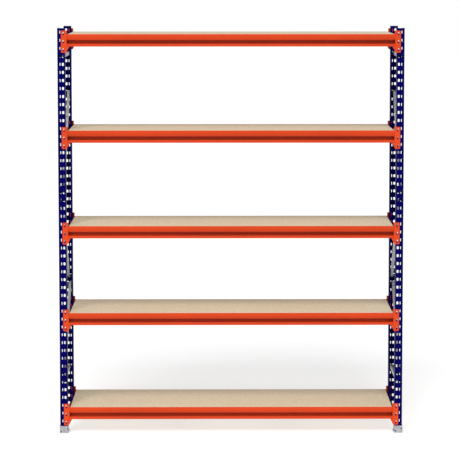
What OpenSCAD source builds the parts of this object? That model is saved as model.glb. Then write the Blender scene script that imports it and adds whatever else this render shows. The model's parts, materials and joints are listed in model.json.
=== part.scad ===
// Boltless steel shelving: one bay, five chipboard levels on hook-in beams, two braced end frames.
// Units are millimetres, +Z is up, the front faces -Y and the origin is the centre of the footprint.

/* [Bay] */
// Width over the outer sides of the uprights
bay_w = 2160; // [1500:10:2700]
// Depth over the slotted faces of the uprights
bay_d = 600; // [450:10:1000]
// Length of an upright, a whole number of slot pitches
upright_h = 2550; // [2550:50:3000]
// Slot row of each level's top hook, counted down from the top row, lowest level first
level_rows = [47, 35, 24, 12, 0]; // [0:1:47]

/* [Upright] */
// Width of the slotted face
upright_w = 48; // [48:1:56]
// Depth of the side walls
upright_depth = 50; // [46:1:60]
// Sheet thickness
upright_t = 2; // [1.6:0.1:2]
// Outer radius of the folds
fold_r = 4; // [3:0.5:5]
// Width of the gap between the two inner lips
throat_w = 26; // [26:1:30]
// Distance between slot rows
slot_pitch = 50; // [50:1:50]
// Distance between the two slot columns
slot_gauge = 21; // [20:1:24]
// Width and height of a slot
slot_size = [12, 18]; // [12:1:18]
// Corner radius of a slot
slot_r = 4; // [2:0.5:4]
// Diameter of the round holes in the side walls
side_hole_d = 9; // [8.5:0.1:10]

/* [Beam] */
// Height of the beam
beam_h = 77; // [72:1:85]
// Front to back size of the beam
beam_depth = 40; // [38:1:45]
// Sheet thickness
beam_t = 1.5; // [1.2:0.1:2]
// Height of the lip that stands in front of the deck
lip_h = 18.5; // [16:0.5:22]
// Thickness of the lip, folded double
lip_t = 3; // [3:0.5:4]
// How far the band under the lip leans back at its foot
band_lean = 8; // [3:0.5:12]
// Foot of the leaning band, down from the top
band_foot = 37; // [32:0.5:40]
// How far the back of the groove lies behind the face
groove_in = 33; // [20:0.5:33]
// Top and bottom of the groove at its back, and its lower edge at the face, down from the top
groove_depths = [38.5, 66, 60]; // [38:0.5:68]

/* [Connector] */
// Plate thickness
plate_t = 3; // [2.5:0.1:3]
// How much of the upright's face the plate covers
plate_lap = 24; // [22:1:24]
// Height of the plate
plate_h = 137; // [134:1:140]
// Height of the plate's top above the centre of its top slot
plate_rise = 9.6; // [9:0.1:12]
// Drop from the centre of the top slot to the top of the beam
beam_drop = 12.3; // [11:0.1:14]
// Distance from the upright to the beam's end
stand_off = 12; // [11:1:16]
// Depth of the leg that the beam is welded to
leg_depth = 40; // [36:1:44]
// Width of the gusset wing under the beam
wing_w = 13; // [8:1:18]
// Number of hooks, one slot pitch apart
hook_count = 3; // [2:1:3]
// Thickness of a hook
hook_t = 3; // [2.5:0.1:3]
// Width and height of the window that a hook is folded out of
window_size = [9, 18]; // [7:1:18]

/* [Deck] */
// Thickness of the chipboard
deck_t = 16; // [15:1:19]
// Gap between the upright and the deck's end
deck_end_gap = 16; // [14:1:30]
// Gap between the deck's edge and the beam's lip
deck_edge_gap = 1; // [0.5:0.5:2]
// Distance from the middle of the bay to each deck support
support_x = 345; // [200:5:450]
// Width of a deck support
support_w = 30; // [20:1:50]
// Height of a deck support under the deck
support_h = 22; // [15:1:40]
// Sheet thickness of a deck support
support_t = 1.5; // [1.2:0.1:2]

/* [Bracing] */
// Width of a brace channel
brace_w = 16; // [12:1:16]
// Depth of a brace channel
brace_depth = 22; // [20:1:24]
// Sheet thickness of a brace channel
brace_t = 1.5; // [1.2:0.1:2]
// Sideways offset that lets neighbouring brace ends pass each other
brace_offset = 4.5; // [3:0.5:4.5]
// Distance from the slotted face to the brace pins
pin_inset = 32; // [30:1:34]
// Diameter of a brace pin
pin_d = 8; // [6:1:8]
// Outer diameter of a spacer bush
bush_d = 16; // [12:1:18]

/* [Foot] */
// Thickness of the base plate
base_t = 4; // [3:1:6]
// Thickness of the foot's walls
wall_t = 3; // [2:0.5:4]
// Height of the front and outer walls above the floor
front_wall_h = 46; // [35:1:47]
// Height of the inner wall above the floor
inner_wall_h = 68; // [50:1:80]
// Length of the base plate behind the upright
tongue_l = 60; // [45:1:90]
// Diameter of the floor anchor hole
anchor_d = 13; // [11:1:14]
// Height of the foot bolt above the floor
foot_bolt_z = 14; // [13:0.5:16]

/* [Hidden] */
$fn = 48;
level_count = len(level_rows);
levels = [1:level_count];
row_count = upright_h / slot_pitch;
upright_x = (bay_w - upright_w) / 2;
clear_half = bay_w / 2 - upright_w;
face_y = -bay_d / 2;
fit_gap = 0.15;
cut_extra = 1;

// Beam face, set back from the connector's face, and half the sizes that follow from it
beam_face_y = face_y - plate_t + 1;
beam_half = clear_half - stand_off;
deck_half_d = -beam_face_y - lip_t - deck_edge_gap;
ledge_z = beam_t - lip_h;

// Connector: centre of the slot column it hooks into, measured from the upright's inner side
hook_x = (slot_gauge - upright_w) / 2;
plate_corner_r = 6;
neck_h = slot_size[1] / 2 - 0.7;
hook_drop = 8;
nose_t = 3.5;

// Each brace: name, front slot row, back slot row, side that it is offset to
braces = [
    ["top", 3, 3, 1],
    ["diagonal_1", 20, 8, 1],
    ["diagonal_2", 21, 32, -1],
    ["diagonal_3", 43, 33, 1],
    ["bottom", 44, 44, -1]
];

// Foot bolt: shank, hexagon across corners, head height, and nut height
bolt_d = 8;
hex_d = 15;
head_h = 5.3;
nut_h = 6.5;
foot_hole_d = 9;
// Front wall holes, from the middle of the upright and up from the floor
foot_holes = [[-19, 13.5], [19.5, 29]];

navy = [0.03, 0.03, 0.38];
orange = [0.90, 0.29, 0.12];
bright_orange = [0.98, 0.34, 0.14];
chipboard = [0.82, 0.74, 0.62];
galvanised = [0.78, 0.78, 0.80];
zinc = [0.62, 0.63, 0.66];
black = [0.06, 0.06, 0.07];

sides = [["left", -1], ["right", 1]];
ends = [["front", 0], ["back", 180]];
frame_corners = [for (e = ends) for (s = sides) str(e[0], "_", s[0])];

// Height of the centre of a slot row above the floor
function row_z(row) = base_t + upright_h - (row + 0.5) * slot_pitch;
// Height of the top slot of a level's connectors
function level_z(i) = row_z(level_rows[i - 1]);
function beam_top_z(i) = level_z(i) - beam_drop;

function unit(v) = v / norm(v);
function left_normal(v) = [-v[1], v[0]];

// Outline moved inwards by t: each corner slides along the mitre of its two edges
function inset(points, t) = let (n = len(points)) [
    for (i = [0:n - 1])
        let (
            into = left_normal(unit(points[i] - points[(i + n - 1) % n])),
            out = left_normal(unit(points[(i + 1) % n] - points[i]))
        )
        points[i] + (into + out) * t / (1 + into * out)
];

// Short steps round a corner p that lies between a and b
bend_steps = 5;
function bend(a, p, b, r) =
    let (u = unit(a - p), v = unit(b - p), reach = r * sqrt((1 + u * v) / (1 - u * v)))
    [for (k = [0:bend_steps]) let (t = k / bend_steps) p + reach * (u * pow(1 - t, 2) + v * pow(t, 2))];

// Outline with each corner rounded to its own radius
function rounded_outline(points, radii) = let (n = len(points)) [
    for (i = [0:n - 1]) each bend(points[(i + n - 1) % n], points[i], points[(i + 1) % n], radii[i])
];

// Stands a 2D shape drawn in Y and Z up along X, centred on X = 0
module along_x(length) {
    rotate([90, 0, 90]) linear_extrude(length, center = true) children();
}

// Stands a 2D shape drawn in X and Z up, from its front face at Y = 0 backwards
module from_front(thickness) {
    translate([0, thickness, 0]) rotate([90, 0, 0]) linear_extrude(thickness) children();
}

module rounded_rect(size, r) {
    square([size[0] - 2 * r, size[1]], center = true);
    square([size[0], size[1] - 2 * r], center = true);
    for (x = [-1, 1])
        for (y = [-1, 1])
            translate([x * (size[0] / 2 - r), y * (size[1] / 2 - r)]) circle(r);
}

// Places children on a corner of the bay with the slotted face outwards
module at_corner(side, turn) {
    rotate([0, 0, turn]) translate([side * (turn == 0 ? 1 : -1) * upright_x, face_y, 0]) children();
}

// Upright: folded channel, its face at Y = 0 and its throat towards +Y
module channel_section() {
    translate([0, upright_depth / 2])
        difference() {
            rounded_rect([upright_w, upright_depth], fold_r);
            rounded_rect([upright_w - 2 * upright_t, upright_depth - 2 * upright_t], fold_r - upright_t);
            translate([-throat_w / 2, 0]) square([throat_w, upright_depth]);
        }
}

module upright() {
    color(navy)
        translate([0, 0, base_t])
            difference() {
                linear_extrude(upright_h) channel_section();
                for (row = [0:row_count - 1])
                    translate([0, 0, row_z(row) - base_t]) {
                        for (side = [-1, 1])
                            translate([side * slot_gauge / 2, -cut_extra, 0])
                                from_front(upright_t + 2 * cut_extra) rounded_rect(slot_size, slot_r);
                        translate([0, pin_inset, 0]) side_hole();
                    }
                translate([0, upright_depth / 2, foot_bolt_z - base_t]) side_hole();
            }
}

module side_hole() {
    rotate([0, 90, 0]) cylinder(d = side_hole_d, h = upright_w + 2 * cut_extra, center = true);
}

// Foot: base plate with a tongue for the floor anchor, and three walls around the upright.
// inner is 1 when the inner side of the frame lies towards +X
module foot(inner) {
    reach = upright_w / 2 + fit_gap;
    outer_w = 2 * (reach + wall_t);
    back_y = upright_depth - 2;
    front_y = -fit_gap - wall_t;
    anchor_y = upright_depth + tongue_l / 2;
    color(galvanised)
        difference() {
            union() {
                translate([-outer_w / 2, front_y, 0])
                    cube([outer_w, back_y - front_y, base_t]);
                translate([0, back_y + (tongue_l - fold_r) / 2, 0])
                    linear_extrude(base_t) rounded_rect([outer_w, tongue_l + fold_r], fold_r);
                translate([-outer_w / 2, front_y, 0])
                    cube([outer_w, wall_t, front_wall_h]);
                translate([inner > 0 ? -outer_w / 2 : reach, front_y, 0])
                    cube([wall_t, back_y - front_y, front_wall_h]);
                translate([inner > 0 ? reach : -outer_w / 2, 0, 0])
                    inner_wall(front_y, back_y);
            }
            for (h = foot_holes)
                translate([h[0], front_y - cut_extra, h[1]])
                    from_front(wall_t + 2 * cut_extra) circle(d = foot_hole_d);
            translate([0, anchor_y, -cut_extra])
                cylinder(d = anchor_d, h = base_t + 2 * cut_extra);
            translate([inner * (reach + wall_t / 2), upright_depth / 2, foot_bolt_z])
                rotate([0, 90, 0]) cylinder(d = foot_hole_d, h = wall_t + 2 * cut_extra, center = true);
        }
}

// Side wall of the foot: low at the front, under the connector, and higher behind it
module inner_wall(front_y, back_y) {
    shoulder_y = 5;
    translate([0, front_y, 0]) cube([wall_t, back_y - front_y, front_wall_h]);
    translate([0, shoulder_y, 0]) cube([wall_t, back_y - shoulder_y, inner_wall_h]);
}

// Foot bolts go in from the inner side of the frame, and their nuts sit inside the upright
module foot_bolt(inner) {
    head_x = upright_w / 2 + fit_gap + wall_t;
    shank_l = wall_t + upright_t + nut_h + 4;
    translate([0, upright_depth / 2, foot_bolt_z])
        rotate([0, 90 * inner, 0]) {
            translate([0, 0, head_x]) cylinder(d = hex_d, h = head_h, $fn = 6);
            translate([0, 0, head_x - shank_l]) cylinder(d = bolt_d, h = shank_l);
        }
}

module foot_nut(inner) {
    nut_x = upright_w / 2 - upright_t - nut_h;
    translate([0, upright_depth / 2, foot_bolt_z])
        rotate([0, 90 * inner, 0])
            translate([0, 0, nut_x])
                difference() {
                    cylinder(d = hex_d, h = nut_h, $fn = 6);
                    translate([0, 0, -cut_extra])
                        cylinder(d = bolt_d + 2 * fit_gap, h = nut_h + 2 * cut_extra);
                }
}

module foot_bolts() {
    color(zinc) for (e = ends) for (s = sides) at_corner(s[1], e[1]) foot_bolt(inner_side(s[1], e[1]));
}

module foot_nuts() {
    color(zinc) for (e = ends) for (s = sides) at_corner(s[1], e[1]) foot_nut(inner_side(s[1], e[1]));
}

// Side of a corner's own X axis that faces the middle of the bay
function inner_side(side, turn) = turn == 0 ? -side : side;

// Brace: a channel along +Y from pin to pin, its web on the side given by web
module brace_channel(length, web) {
    slant_r = brace_depth / 2;
    difference() {
        along_x(brace_w) {
            translate([0, -slant_r]) square([length, brace_depth]);
            for (y = [0, length]) translate([y, 0]) circle(slant_r);
        }
        translate([0, length / 2, -web * brace_t])
            cube([brace_w - 2 * brace_t, length + 3 * brace_depth, brace_depth], center = true);
        for (y = [0, length])
            translate([0, y, 0])
                rotate([0, 90, 0])
                    cylinder(d = pin_d + 2 * fit_gap, h = brace_w + 2 * cut_extra, center = true);
    }
}

module brace(b, side) {
    span = bay_d - 2 * pin_inset;
    rise = row_z(b[2]) - row_z(b[1]);
    color(galvanised)
        translate([side * upright_x + b[3] * brace_offset, -span / 2, row_z(b[1])])
            rotate([atan2(rise, span), 0, 0])
                brace_channel(norm([span, rise]), rise < 0 ? -1 : 1);
}

// Pins run flush from side wall to side wall, thicker where they fill the side holes
module brace_pin() {
    rotate([0, 90, 0]) {
        cylinder(d = pin_d, h = upright_w, center = true);
        for (end = [-1, 1])
            translate([0, 0, end * (upright_w - upright_t) / 2])
                cylinder(d = side_hole_d - 0.2, h = upright_t, center = true);
    }
}

// Places children at every brace end of a frame, and tells them the side that the brace is offset to
module at_pins(side) {
    for (b = braces)
        for (end = [[-1, b[1]], [1, b[2]]]) {
            $offset_side = b[3];
            translate([side * upright_x, end[0] * (bay_d / 2 - pin_inset), row_z(end[1])]) children();
        }
}

module brace_pins(side) {
    color(zinc) at_pins(side) brace_pin();
}

// Bushes fill the space between the brace and the two side walls
module brace_bush() {
    inner_half = upright_w / 2 - upright_t;
    for (end = [-1, 1]) {
        near = brace_w / 2 + end * $offset_side * brace_offset;
        translate([end * (inner_half + near) / 2, 0, 0])
            rotate([0, 90, 0])
                difference() {
                    cylinder(d = bush_d, h = inner_half - near, center = true);
                    cylinder(d = pin_d + 2 * fit_gap, h = inner_half, center = true);
                }
    }
}

module brace_bushes(side) {
    color(black) at_pins(side) brace_bush();
}

// Beam: closed section with a groove in its face, which is at Y = 0, and its top at Z = 0
beam_body = [
    [0, ledge_z],
    [band_lean, -band_foot],
    [groove_in, -groove_depths[0]],
    [groove_in, -groove_depths[1]],
    [0, -groove_depths[2]],
    [0, -beam_h],
    [beam_depth, -beam_h],
    [beam_depth, ledge_z]
];
body_radii = [1, 2, 2, 2, 2.5, 2.5, 2.5, 2.5];
beam_outline = rounded_outline(
    concat(
        [[lip_t, 0], [0, 0], [0, -lip_h]],
        [for (k = [1:len(beam_body) - 1]) beam_body[k]],
        [[lip_t, ledge_z]]
    ),
    concat([1.4, 1.4, 2], [for (k = [1:len(beam_body) - 1]) body_radii[k]], [0.5])
);
beam_hollow = rounded_outline(inset(beam_body, beam_t), [for (p = beam_body) 1]);

module beam(turn, i) {
    color(orange)
        rotate([0, 0, turn])
            translate([0, beam_face_y, beam_top_z(i)])
                difference() {
                    along_x(2 * beam_half) polygon(beam_outline);
                    along_x(2 * beam_half + cut_extra) polygon(beam_hollow);
                }
}

// Connector at the left end: X = 0 is the upright's inner side, Y = 0 its face, Z = 0 the top slot
module connector_plate() {
    low = plate_rise - plate_h;
    beam_bottom = -beam_drop - beam_h;
    difference() {
        union() {
            translate([-plate_lap / 2, low + plate_h / 2])
                rounded_rect([plate_lap, plate_h], plate_corner_r);
            translate([-plate_lap / 2, low]) square([plate_lap / 2 + stand_off - wing_w + 5, plate_h]);
            translate([0, beam_bottom]) square([stand_off - fold_r, plate_rise - beam_bottom]);
            polygon([
                [0, low],
                [stand_off - wing_w + 5, low],
                [stand_off - fold_r, low + 3],
                [stand_off + wing_w, beam_bottom - 4],
                [stand_off + wing_w, beam_bottom],
                [0, beam_bottom]
            ]);
        }
        at_hooks() translate([window_size[0] / 2, -(window_size[1] + 1) / 2]) rounded_rect(window_size, 2);
    }
}

module at_hooks() {
    for (k = [0:hook_count - 1]) translate([hook_x, -k * slot_pitch]) children();
}

// The fold at the plate's inner edge and the leg that the beam is welded to
module connector_leg() {
    beam_bottom = -beam_drop - beam_h;
    inner_r = fold_r - plate_t;
    fold_h = plate_rise - beam_bottom;
    translate([stand_off - fold_r, fold_r - plate_t, beam_bottom])
        linear_extrude(fold_h)
            intersection() {
                difference() {
                    circle(fold_r);
                    circle(inner_r);
                }
                translate([0, -fold_r]) square(fold_r);
            }
    translate([stand_off - plate_t / 2, 0, 0])
        along_x(plate_t)
            polygon([
                [inner_r, beam_bottom],
                [leg_depth - plate_t, beam_bottom],
                [leg_depth - plate_t, -beam_drop],
                [leg_depth / 2, plate_rise],
                [inner_r, plate_rise]
            ]);
}

// Hook: a tab folded out of the plate, through the slot and down behind the upright's face
module hook() {
    back = upright_t + fit_gap;
    seat = fit_gap - slot_size[1] / 2;
    tip = seat - hook_drop;
    translate([-hook_t / 2, 0, 0])
        along_x(hook_t)
            polygon([
                [-1, seat],
                [back, seat],
                [back, tip],
                [back + nose_t - 1.5, tip],
                [back + nose_t, tip + 3],
                [back + nose_t, seat + neck_h - 1],
                [back + nose_t - 1, seat + neck_h],
                [-1, seat + neck_h]
            ]);
}

module connector() {
    translate([0, -plate_t, 0]) from_front(plate_t) connector_plate();
    connector_leg();
    for (k = [0:hook_count - 1]) translate([hook_x, 0, -k * slot_pitch]) hook();
}

module connectors(turn, i) {
    color(bright_orange)
        rotate([0, 0, turn])
            for (side = [0, 1])
                mirror([side, 0, 0])
                    translate([-clear_half, face_y, level_z(i)]) connector();
}

// Deck supports: folded bars whose ends rest on the beams' ledges, with the deck on top
module deck_support() {
    hang_half = -beam_face_y - beam_depth - 1;
    translate([-support_w / 2, -deck_half_d, 0]) cube([support_w, 2 * deck_half_d, support_t]);
    for (side = [-1, 1])
        translate([side * (support_w - support_t) / 2 - support_t / 2, -hang_half, support_t - support_h])
            cube([support_t, 2 * hang_half, support_h]);
}

module deck_supports(i) {
    color(galvanised)
        for (side = [-1, 1])
            translate([side * support_x, 0, beam_top_z(i) + ledge_z]) deck_support();
}

module deck(i) {
    deck_w = 2 * (clear_half - deck_end_gap);
    color(chipboard)
        translate([-deck_w / 2, -deck_half_d, beam_top_z(i) + ledge_z + support_t])
            cube([deck_w, 2 * deck_half_d, deck_t]);
}

for (e = ends) for (s = sides) at_corner(s[1], e[1]) upright();
for (e = ends) for (s = sides) at_corner(s[1], e[1]) foot(inner_side(s[1], e[1]));
foot_bolts();
foot_nuts();
for (s = sides) for (b = braces) brace(b, s[1]);
for (s = sides) brace_pins(s[1]);
for (s = sides) brace_bushes(s[1]);
for (e = ends) for (i = levels) beam(e[1], i);
for (e = ends) for (i = levels) connectors(e[1], i);
for (i = levels) deck_supports(i);
for (i = levels) deck(i);
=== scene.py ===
"""Looks for the boltless steel shelving: powder coat, galvanised steel, chipboard, weld beads, studio."""
import json
import math

import bmesh
import bpy
from mathutils import Matrix, Vector


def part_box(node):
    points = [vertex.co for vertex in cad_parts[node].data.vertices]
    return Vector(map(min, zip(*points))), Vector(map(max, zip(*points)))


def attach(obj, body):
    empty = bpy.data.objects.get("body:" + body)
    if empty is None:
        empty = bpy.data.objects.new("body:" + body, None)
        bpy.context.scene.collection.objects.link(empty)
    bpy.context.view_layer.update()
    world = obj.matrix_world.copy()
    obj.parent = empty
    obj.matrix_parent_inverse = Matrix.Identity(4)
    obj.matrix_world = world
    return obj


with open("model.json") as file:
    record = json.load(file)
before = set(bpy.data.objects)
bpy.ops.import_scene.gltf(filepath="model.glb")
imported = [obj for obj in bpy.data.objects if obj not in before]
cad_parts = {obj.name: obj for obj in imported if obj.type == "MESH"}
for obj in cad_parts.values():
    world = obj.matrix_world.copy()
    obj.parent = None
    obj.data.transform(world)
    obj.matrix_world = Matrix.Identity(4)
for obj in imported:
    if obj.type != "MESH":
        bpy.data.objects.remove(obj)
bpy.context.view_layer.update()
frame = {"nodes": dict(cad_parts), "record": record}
nodes = frame["nodes"]

MM = 0.001
LEVELS = range(1, 6)
# Which way each end of the bay faces along Y
ENDS = {"front": -1, "back": 1}

# Reach of the painted shade that darkens the paint deep in the beams' grooves
GROOVE_SHADE_REACH = 32 * MM
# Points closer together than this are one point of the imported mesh
WELD_GAP = 0.005 * MM
# Faces that meet at less than this are one flat face
FLAT_DEGREES = 0.5
# Edges sharper than this stay sharp in the shading
SMOOTH_DEGREES = 32

# Beam outline that the weld beads follow, as mm behind the face and mm above the top,
# from the lip down the leaning band, the groove and the lower lip to the underside
WELD_OUTLINE = [
    (1.5, 0),
    (0, -1.5),
    (0, -17),
    (7, -35.5),
    (9, -37),
    (31, -38.4),
    (33, -40.5),
    (33, -63.5),
    (31, -65.6),
    (2.5, -60.5),
    (0, -62.5),
    (0, -74.5),
    (2.5, -77),
    (37, -77),
]
BEAD_RADIUS = 1.3 * MM
BEAD_STEP = 0.9 * MM

FLOOR_HALF = 60


# ---------------------------------------------------------------- shader helpers


class Tree:
    """A material's node tree with short calls to add and join nodes."""

    def __init__(self, name):
        self.material = bpy.data.materials.new(name)
        self.material.use_nodes = True
        self.nodes = self.material.node_tree.nodes
        self.links = self.material.node_tree.links
        self.surface = self.nodes["Principled BSDF"]
        self.place = self.add("ShaderNodeTexCoord").outputs["Object"]

    def add(self, kind, inputs=None, **settings):
        """A new node with its settings, and its inputs set or linked."""
        made = self.nodes.new(kind)
        for key, value in settings.items():
            setattr(made, key, value)
        for key, value in (inputs or {}).items():
            self.set(made.inputs[key], value)
        return made

    def set(self, socket, value):
        """Links an output to the socket, or gives the socket a plain value."""
        if isinstance(value, bpy.types.NodeSocket):
            self.links.new(value, socket)
        else:
            socket.default_value = value

    def scaled(self, scale, turn=(0, 0, 0)):
        """Object coordinates, turned and scaled."""
        mapping = self.add("ShaderNodeMapping", {"Vector": self.place, "Scale": scale, "Rotation": turn})
        return mapping.outputs["Vector"]

    def noise(self, scale, detail=3, vector=None, roughness=0.5):
        """Soft noise, 0 to 1, with scale in lumps per metre."""
        inputs = {"Vector": vector or self.place, "Scale": scale, "Detail": detail, "Roughness": roughness}
        return self.add("ShaderNodeTexNoise", inputs).outputs["Fac"]

    def cells(self, scale, vector=None):
        """A random colour for each cell, with scale in cells per metre."""
        inputs = {"Vector": vector or self.place, "Scale": scale}
        return self.add("ShaderNodeTexVoronoi", inputs).outputs["Color"]

    def ramp(self, value, *stops):
        """Colour ramp through (position, colour) stops."""
        made = self.add("ShaderNodeValToRGB", {"Fac": value})
        elements = made.color_ramp.elements
        while len(elements) < len(stops):
            elements.new(0.5)
        for element, (position, colour) in zip(elements, stops):
            element.position = position
            element.color = (*colour, 1)
        return made.outputs["Color"]

    def mix(self, share, first, second):
        """The first colour, with a share of the second over it."""
        made = self.add("ShaderNodeMix", data_type="RGBA")
        colours = [socket for socket in made.inputs if socket.type == "RGBA"]
        self.set(made.inputs["Factor"], share)
        self.set(colours[0], first)
        self.set(colours[1], second)
        return next(socket for socket in made.outputs if socket.type == "RGBA")

    def spread(self, value, low, high, out_low, out_high):
        """The value moved from low..high to out_low..out_high."""
        inputs = {
            "Value": value,
            "From Min": low,
            "From Max": high,
            "To Min": out_low,
            "To Max": out_high,
        }
        return self.add("ShaderNodeMapRange", inputs).outputs["Result"]

    def bump(self, height, distance, strength, below=None):
        """A normal bent by a height, on top of another bump where one is given."""
        inputs = {"Height": height, "Distance": distance, "Strength": strength}
        if below is not None:
            inputs["Normal"] = below
        return self.add("ShaderNodeBump", inputs).outputs["Normal"]

    def edges(self, radius):
        """1 on sharp edges and 0 on flats, from how far a rounded normal leans off the true one."""
        rounded = self.add("ShaderNodeBevel", {"Radius": radius}, samples=6).outputs["Normal"]
        true = self.add("ShaderNodeNewGeometry").outputs["Normal"]
        dot = self.add("ShaderNodeVectorMath", {0: rounded, 1: true}, operation="DOT_PRODUCT")
        return self.spread(dot.outputs["Value"], 0.98, 0.80, 0.0, 1.0)

    def painted_fold_shade(self, reach, most):
        """Painted shade: 0 in the open and up to most deep inside folds and grooves, from how enclosed each
        point is.
        """
        open_share = self.add("ShaderNodeAmbientOcclusion", {"Distance": reach}, samples=8).outputs["AO"]
        return self.spread(open_share, 0.85, 0.35, 0.0, most)

    def finish(self, **inputs):
        """Sets the surface's inputs by name and gives back the material."""
        for key, value in inputs.items():
            self.set(self.surface.inputs[key.replace("_", " ")], value)
        return self.material


def rgba(colour):
    """A colour with full alpha."""
    return (*colour, 1)


def linear(*colour):
    """sRGB 0-255 to linear."""
    shares = [value / 255 for value in colour]
    return tuple(c / 12.92 if c <= 0.04045 else ((c + 0.055) / 1.055) ** 2.4 for c in shares)


def scaled_colour(colour, by):
    """A darker or paler version of a linear colour."""
    return tuple(min(1, c * by) for c in colour)


# ---------------------------------------------------------------- materials


def powder_coat(name, colour, shine):
    """Baked paint: orange-peel skin, paler on sharp edges as wear with a painted edge highlight, and darker
    deep in folds and grooves as painted shade.
    """
    t = Tree(name)
    base = t.ramp(
        t.noise(2.2, 4),
        (0.3, scaled_colour(colour, 0.92)),
        (0.7, scaled_colour(colour, 1.06)),
    )
    # Paler paint on sharp edges: partly edge wear, partly a painted edge highlight
    wear_and_edge_highlight = t.mix(t.spread(t.edges(0.8 * MM), 0, 1, 0, 0.35), base, rgba(scaled_colour(colour, 1.5)))
    grime = t.spread(t.noise(9, 6, roughness=0.7), 0.55, 0.8, 0, 0.10)
    worn = t.mix(grime, wear_and_edge_highlight, rgba(scaled_colour(colour, 0.6)))
    mottle = t.spread(t.noise(300, 5, roughness=0.75), 0.38, 0.62, 0, 0.20)
    speckled = t.mix(mottle, worn, rgba(scaled_colour(colour, 0.70)))
    # Painted shade: the paint darkens towards 0.42 of its colour deep in folds and grooves
    shade = t.mix(t.painted_fold_shade(GROOVE_SHADE_REACH, 0.54), speckled, rgba(scaled_colour(colour, 0.42)))
    peel = t.bump(t.noise(420, 2), 0.3 * MM, 0.7)
    normal = t.bump(t.noise(1500, 1), 0.02 * MM, 0.4, peel)
    gloss = t.spread(t.noise(35, 4), 0.3, 0.7, 0.33, 0.45)
    return t.finish(
        Base_Color=shade,
        Roughness=gloss,
        Normal=normal,
        Specular_IOR_Level=shine,
    )


def galvanised(name):
    """Hot-dip zinc: crystal spangle in two sizes and dull patches."""
    t = Tree(name)
    shift = t.add("ShaderNodeVectorMath", {0: (0.004, 0.003, 0.005)}, operation="SCALE")
    t.set(shift.inputs["Scale"], t.noise(60, 3))
    warped = t.add("ShaderNodeVectorMath", {0: t.place, 1: shift.outputs[0]}, operation="ADD")
    big = t.cells(85, warped.outputs[0])
    small = t.cells(240, warped.outputs[0])
    tone = t.add("ShaderNodeRGBToBW", {"Color": t.mix(0.35, big, small)}).outputs[0]
    base = t.ramp(
        tone,
        (0.15, linear(150, 151, 155)),
        (0.50, linear(172, 173, 178)),
        (0.85, linear(196, 197, 202)),
    )
    dull = t.spread(t.noise(7, 5, roughness=0.65), 0.5, 0.75, 0, 0.25)
    shade = t.mix(dull, base, rgba(linear(146, 147, 149)))
    rough = t.spread(tone, 0.1, 0.9, 0.30, 0.48)
    normal = t.bump(tone, 0.05 * MM, 0.35, t.bump(t.noise(900, 2), 0.02 * MM, 0.3))
    return t.finish(Base_Color=shade, Metallic=0.62, Roughness=rough, Normal=normal)


def chipboard(name):
    """Sanded chipboard: long and short wood flakes at several angles in a pale resin ground."""
    t = Tree(name)
    ground = t.ramp(
        t.noise(160, 5, roughness=0.7),
        (0.30, linear(197, 177, 146)),
        (0.55, linear(220, 206, 179)),
        (0.75, linear(232, 222, 199)),
    )
    shade = ground
    # Each layer of flakes: cells per metre along X, Y and Z, turn about Z, and how much it covers
    layers = [
        ((95, 330, 420), 0.35, 0.40),
        ((310, 110, 400), -0.5, 0.40),
        ((150, 420, 380), 1.1, 0.34),
        ((520, 380, 600), 0.2, 0.30),
    ]
    relief = None
    for scale, turn, share in layers:
        colour = t.cells(1.0, t.scaled(scale, (0, 0, turn)))
        tone = t.add("ShaderNodeRGBToBW", {"Color": colour}).outputs[0]
        flake = t.ramp(
            tone,
            (0.10, linear(150, 118, 82)),
            (0.32, linear(206, 186, 152)),
            (0.60, linear(226, 212, 185)),
            (0.90, linear(241, 233, 212)),
        )
        shade = t.mix(share, shade, flake)
        if relief is None:
            relief = tone
        else:
            relief = t.add("ShaderNodeMath", {0: relief, 1: tone}, operation="ADD").outputs[0]
    dark = t.cells(1.0, t.scaled((260, 700, 500), (0, 0, 0.8)))
    speck = t.spread(t.add("ShaderNodeRGBToBW", {"Color": dark}).outputs[0], 0.10, 0.04, 0, 0.55)
    shade = t.mix(speck, shade, rgba(linear(120, 88, 56)))
    stain = t.spread(t.noise(1.6, 4), 0.35, 0.7, 0, 0.12)
    shade = t.mix(stain, shade, rgba(linear(190, 166, 134)))
    fibre = t.bump(t.noise(700, 3), 0.05 * MM, 0.4)
    normal = t.bump(relief, 0.10 * MM, 0.25, fibre)
    return t.finish(
        Base_Color=shade,
        Roughness=t.spread(t.noise(120, 4), 0.3, 0.7, 0.55, 0.75),
        Normal=normal,
        Specular_IOR_Level=0.5,
    )


def zinc(name):
    """Bright zinc plate with a fine turned grain."""
    t = Tree(name)
    grain = t.noise(1.0, 3, t.scaled((300, 2200, 2200)))
    base = t.ramp(grain, (0.3, linear(150, 152, 156)), (0.7, linear(196, 198, 202)))
    return t.finish(
        Base_Color=base,
        Metallic=0.9,
        Roughness=t.spread(grain, 0.3, 0.7, 0.28, 0.42),
        Normal=t.bump(grain, 0.03 * MM, 0.4),
    )


def nylon(name):
    """Moulded black nylon with a fine matt texture."""
    t = Tree(name)
    grain = t.noise(900, 3)
    base = t.ramp(t.noise(60, 3), (0.3, linear(16, 16, 18)), (0.7, linear(30, 30, 33)))
    return t.finish(
        Base_Color=base,
        Roughness=t.spread(grain, 0.3, 0.7, 0.5, 0.65),
        Normal=t.bump(grain, 0.05 * MM, 0.5),
    )


def floor_paint(name):
    """White shooting table, lit a little from within so that its shadows stay pale."""
    t = Tree(name)
    base = t.ramp(t.noise(0.8, 3), (0.3, (0.47, 0.47, 0.47)), (0.7, (0.49, 0.49, 0.49)))
    return t.finish(
        Base_Color=base,
        Roughness=0.9,
        Specular_IOR_Level=0.1,
        Emission_Color=(1, 1, 1, 1),
        Emission_Strength=0.6,
    )


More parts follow.
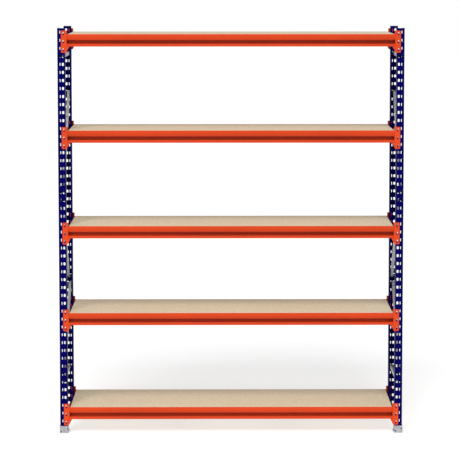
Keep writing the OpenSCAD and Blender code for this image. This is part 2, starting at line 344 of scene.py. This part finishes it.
MATERIALS = {
    "navy_paint": powder_coat("navy_powder_coat", linear(1, 0, 80), 0.03),
    "orange_paint": powder_coat("orange_powder_coat", linear(204, 62, 20), 0.15),
    "bright_orange_paint": powder_coat("bright_orange_powder_coat", linear(207, 66, 23), 0.15),
    "galvanised": galvanised("galvanised_steel"),
    "zinc": zinc("zinc_plate"),
    "chipboard": chipboard("sanded_chipboard"),
    "black_nylon": nylon("moulded_nylon"),
}


# ---------------------------------------------------------------- CAD nodes: edges and shading


def smooth_by_angle(limit_degrees):
    """Geometry nodes that shade faces smooth and keep edges above the limit sharp."""
    group = bpy.data.node_groups.new("smooth_by_angle", "GeometryNodeTree")
    group.interface.new_socket("Geometry", in_out="INPUT", socket_type="NodeSocketGeometry")
    group.interface.new_socket("Geometry", in_out="OUTPUT", socket_type="NodeSocketGeometry")
    new, link = group.nodes.new, group.links.new
    entry, leave = new("NodeGroupInput"), new("NodeGroupOutput")
    faces, sharp = new("GeometryNodeSetShadeSmooth"), new("GeometryNodeSetShadeSmooth")
    faces.domain, sharp.domain = "FACE", "EDGE"
    sharp.inputs["Shade Smooth"].default_value = False
    angle, above = new("GeometryNodeInputMeshEdgeAngle"), new("FunctionNodeCompare")
    above.operation = "GREATER_THAN"
    above.inputs["B"].default_value = math.radians(limit_degrees)
    link(entry.outputs[0], faces.inputs["Geometry"])
    link(faces.outputs["Geometry"], sharp.inputs["Geometry"])
    link(angle.outputs["Unsigned Angle"], above.inputs["A"])
    link(above.outputs[0], sharp.inputs["Selection"])
    link(sharp.outputs["Geometry"], leave.inputs[0])
    return group


SMOOTH = smooth_by_angle(SMOOTH_DEGREES)
SLOTS = {part["node"]: part["material_slot"] for part in frame["record"]["subparts"]}


def dress(node, bevel_mm=0, fold_degrees=30, flatten=True):
    """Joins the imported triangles, rounds the sharp edges, and shades the node with its slot's material."""
    obj = nodes[node]
    weld = obj.modifiers.new("weld", "WELD")
    weld.merge_threshold = WELD_GAP
    if flatten:
        plane = obj.modifiers.new("planes", "DECIMATE")
        plane.decimate_type = "DISSOLVE"
        plane.angle_limit = math.radians(FLAT_DEGREES)
    if bevel_mm:
        bevel = obj.modifiers.new("edges", "BEVEL")
        bevel.width = bevel_mm * MM
        bevel.segments = 3
        bevel.limit_method = "ANGLE"
        bevel.angle_limit = math.radians(fold_degrees)
    smooth = obj.modifiers.new("smooth", "NODES")
    smooth.node_group = SMOOTH
    obj.data.materials.clear()
    obj.data.materials.append(MATERIALS[SLOTS[node]])


# How each kind of node is dressed; a node takes the longest name that it starts with
KINDS = {
    "upright": {"flatten": False},
    "foot": {"bevel_mm": 0.5, "flatten": False},
    "foot_bolts": {"flatten": False},
    "foot_nuts": {"flatten": False},
    "brace": {"flatten": False},
    "beam": {"bevel_mm": 0.3, "fold_degrees": 50},
    "connectors": {"flatten": False},
    "deck_supports": {"bevel_mm": 0.5},
    "deck": {"bevel_mm": 0.8},
}
for name in nodes:
    fitting = [kind for kind in KINDS if name.startswith(kind)]
    dress(name, **KINDS[max(fitting, key=len)])


# ---------------------------------------------------------------- weld beads at the beam ends


def tube(name, path, radius, sides=8):
    """A closed tube of rings around each (point, direction) of a path across X, radius by step."""
    mesh = bmesh.new()
    across = Vector((1, 0, 0))
    angles = [2 * math.pi * k / sides for k in range(sides)]
    rings = []
    for step, (point, along) in enumerate(path):
        up = along.cross(across).normalized()
        r = radius(step, len(path))
        spokes = [across * math.cos(a) + up * math.sin(a) for a in angles]
        rings.append([mesh.verts.new(point + spoke * r) for spoke in spokes])
    for low, high in zip(rings, rings[1:]):
        for k in range(sides):
            mesh.faces.new((low[k], low[(k + 1) % sides], high[(k + 1) % sides], high[k]))
    mesh.faces.new(list(reversed(rings[0])))
    mesh.faces.new(rings[-1])
    bmesh.ops.recalc_face_normals(mesh, faces=mesh.faces)
    for face in mesh.faces:
        face.smooth = True
    data = bpy.data.meshes.new(name)
    mesh.to_mesh(data)
    mesh.free()
    return data


def resample(corners, spacing):
    """Points every spacing along a run of corners, each with the direction it travels in."""
    out = []
    for start, end in zip(corners, corners[1:]):
        span = end - start
        count = max(2, round(span.length / spacing))
        out += [(start + span * k / count, span.normalized()) for k in range(count)]
    out.append((corners[-1], (corners[-1] - corners[-2]).normalized()))
    return out


def weld_path(level, end, x):
    """Corners of a weld at x, down the front of a beam's outline and along its underside."""
    sign = ENDS[end]
    low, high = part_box(f"beam_{end}_{level}")
    face = low.y if sign < 0 else high.y
    return [Vector((x, face - sign * y * MM, high.z + z * MM)) for y, z in WELD_OUTLINE]


def bead_radius(step, steps):
    """Ripples of a hand weld, tapered over the first and last steps."""
    ripple = 0.22 * MM * math.sin(step * 1.35) + 0.1 * MM * math.sin(step * 0.37)
    taper = min(1, 0.35 + step / 3, 0.35 + (steps - 1 - step) / 3)
    return (BEAD_RADIUS + ripple) * taper


def weld_beads(level, end):
    """The two weld beads that join a beam to its connectors, under the paint."""
    low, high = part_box(f"beam_{end}_{level}")
    name = f"welds_{end}_{level}"
    piece = bmesh.new()
    for x in (low.x, high.x):
        bead = tube("bead", resample(weld_path(level, end, x), BEAD_STEP), bead_radius)
        piece.from_mesh(bead)
        bpy.data.meshes.remove(bead)
    data = bpy.data.meshes.new(name)
    piece.to_mesh(data)
    piece.free()
    obj = bpy.data.objects.new(name, data)
    bpy.context.scene.collection.objects.link(obj)
    data.materials.append(MATERIALS["bright_orange_paint"])
    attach(obj, f"level_{level}")


for level in LEVELS:
    for end in ENDS:
        weld_beads(level, end)


# ---------------------------------------------------------------- studio


def add_floor():
    """A wide square floor that the feet stand on."""
    half = FLOOR_HALF
    mesh = bpy.data.meshes.new("studio_floor")
    corners = [(-half, -half, 0), (half, -half, 0), (half, half, 0), (-half, half, 0)]
    mesh.from_pydata(corners, [], [(0, 1, 2, 3)])
    floor = bpy.data.objects.new("studio_floor", mesh)
    bpy.context.scene.collection.objects.link(floor)
    mesh.materials.append(floor_paint("studio_floor"))


def add_sun(name, azimuth, elevation, strength, softness):
    """Sunlight that comes from an azimuth (0 is from the front, 90 from the right) and an elevation."""
    light = bpy.data.lights.new(name, "SUN")
    light.energy = strength
    light.angle = math.radians(softness)
    obj = bpy.data.objects.new(name, light)
    a, e = math.radians(azimuth), math.radians(elevation)
    towards = Vector((math.sin(a) * math.cos(e), -math.cos(a) * math.cos(e), math.sin(e)))
    obj.rotation_euler = towards.to_track_quat("Z", "Y").to_euler()
    bpy.context.scene.collection.objects.link(obj)


def add_sky(light, backdrop):
    """Even white surroundings: how strongly they light the object, and how bright they look."""
    world = bpy.data.worlds.new("studio")
    world.use_nodes = True
    tree = world.node_tree
    path = tree.nodes.new("ShaderNodeLightPath")
    strength = tree.nodes.new("ShaderNodeMapRange")
    strength.inputs["To Min"].default_value = light
    strength.inputs["To Max"].default_value = backdrop
    background = tree.nodes["Background"]
    background.inputs["Color"].default_value = (1, 1, 1, 1)
    tree.links.new(path.outputs["Is Camera Ray"], strength.inputs["Value"])
    tree.links.new(strength.outputs["Result"], background.inputs["Strength"])
    bpy.context.scene.world = world


def add_camera(place, pitch, yaw, lens, shift):
    """Long lens at a place, turned down by its pitch and to the left by its yaw, in degrees."""
    camera = bpy.data.cameras.new("camera")
    camera.lens = lens
    camera.sensor_width = 36
    camera.shift_x, camera.shift_y = shift
    camera.clip_end = 200
    obj = bpy.data.objects.new("camera", camera)
    tilt = Matrix.Rotation(math.pi / 2 - math.radians(pitch), 4, "X")
    turn = Matrix.Rotation(math.radians(yaw), 4, "Z")
    obj.matrix_world = Matrix.Translation(place) @ turn @ tilt
    bpy.context.scene.collection.objects.link(obj)
    bpy.context.scene.camera = obj


add_floor()
add_sky(light=0.47, backdrop=1.0)
add_sun("key", azimuth=-8, elevation=42, strength=2.5, softness=28)
# A little above the top level, looking down at the middle
add_camera(Vector((-0.025, -14.199, 2.897)), pitch=5.761, yaw=-0.431, lens=174.7, shift=(-0.03, -0.07))
bpy.context.scene.view_settings.view_transform = "Standard"
